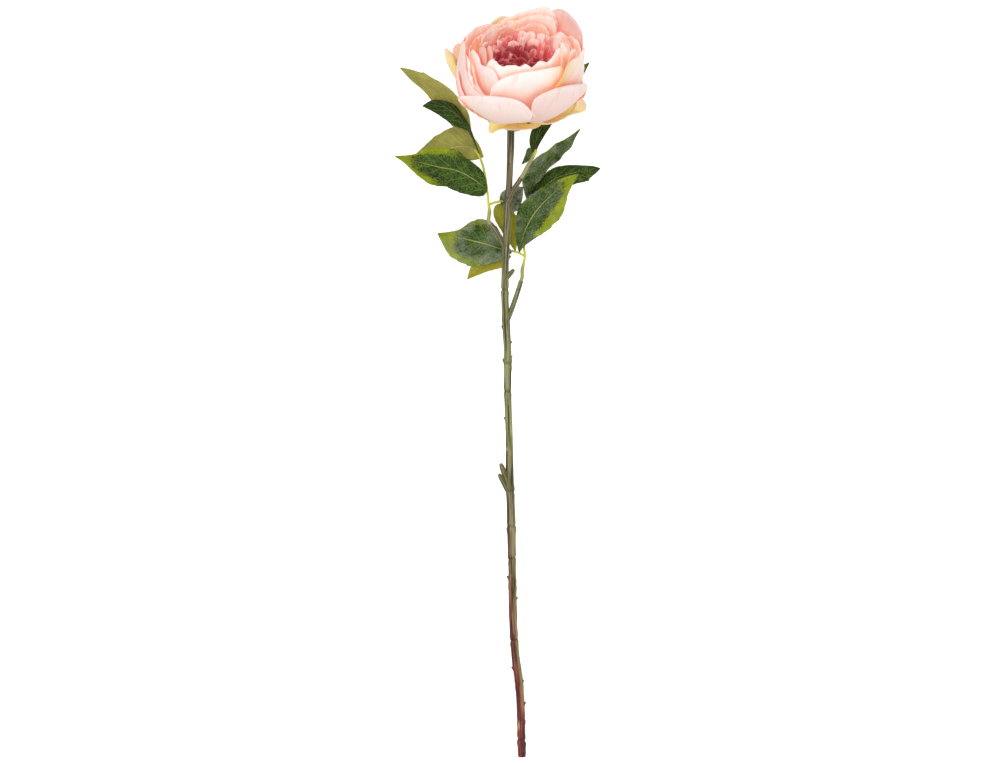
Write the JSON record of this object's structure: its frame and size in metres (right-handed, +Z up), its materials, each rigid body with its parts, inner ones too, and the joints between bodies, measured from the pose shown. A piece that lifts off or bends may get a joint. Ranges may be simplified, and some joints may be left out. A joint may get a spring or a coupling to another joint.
{
  "type": "peony stem",
  "caption": "Long-stemmed peony, cut and laid down, with an open cup-shaped bloom in blush pink and leafy side sprays.",
  "frame": {"origin": "on the surface that the flower lies on, under the middle of its box", "axes": "+Y from the cut end towards the bloom, +X to the flower's right seen from above, +Z up from the surface"},
  "size_m": [0.1742, 0.6392, 0.1133],
  "materials": {
    "stem": "olive brown with a soft satin sheen, red brown towards the cut end",
    "petiole": "bright yellow green, smooth",
    "calyx": "leaf green",
    "leaf": "dark mottled green with lime margins and pale veins",
    "leaf_back": "matt olive underside",
    "guard_petal": "apricot yellow, silky",
    "blush_petal": "cream to blush with salmon bases, silky",
    "ruffle_petal": "salmon pink with pale rims",
    "heart_petal": "deep raspberry"
  },
  "bodies": {
    "root": {"stem": "stem", "petiole_left": "petiole", "petiole_lower_right": "petiole", "petiole_upper_right": "petiole", "leaf_left_top": "leaf_back", "leaf_left_dark": "leaf", "leaf_left_middle": "leaf_back", "leaf_left_front": "leaf", "leaf_low_left": "leaf", "leaf_low_bottom": "leaf_back", "leaf_low_curled": "leaf_back", "leaf_right_front": "leaf", "leaf_behind_stem": "leaf", "leaf_right_long": "leaf", "leaf_behind_bloom": "leaf", "leaflet_small": "leaf", "leaf_right_low": "leaf", "calyx": "calyx", "guard_petals": "guard_petal", "blush_petals": "blush_petal", "ruffle_petals": "ruffle_petal", "heart_petals": "heart_petal"}
  },
  "joints": []
}
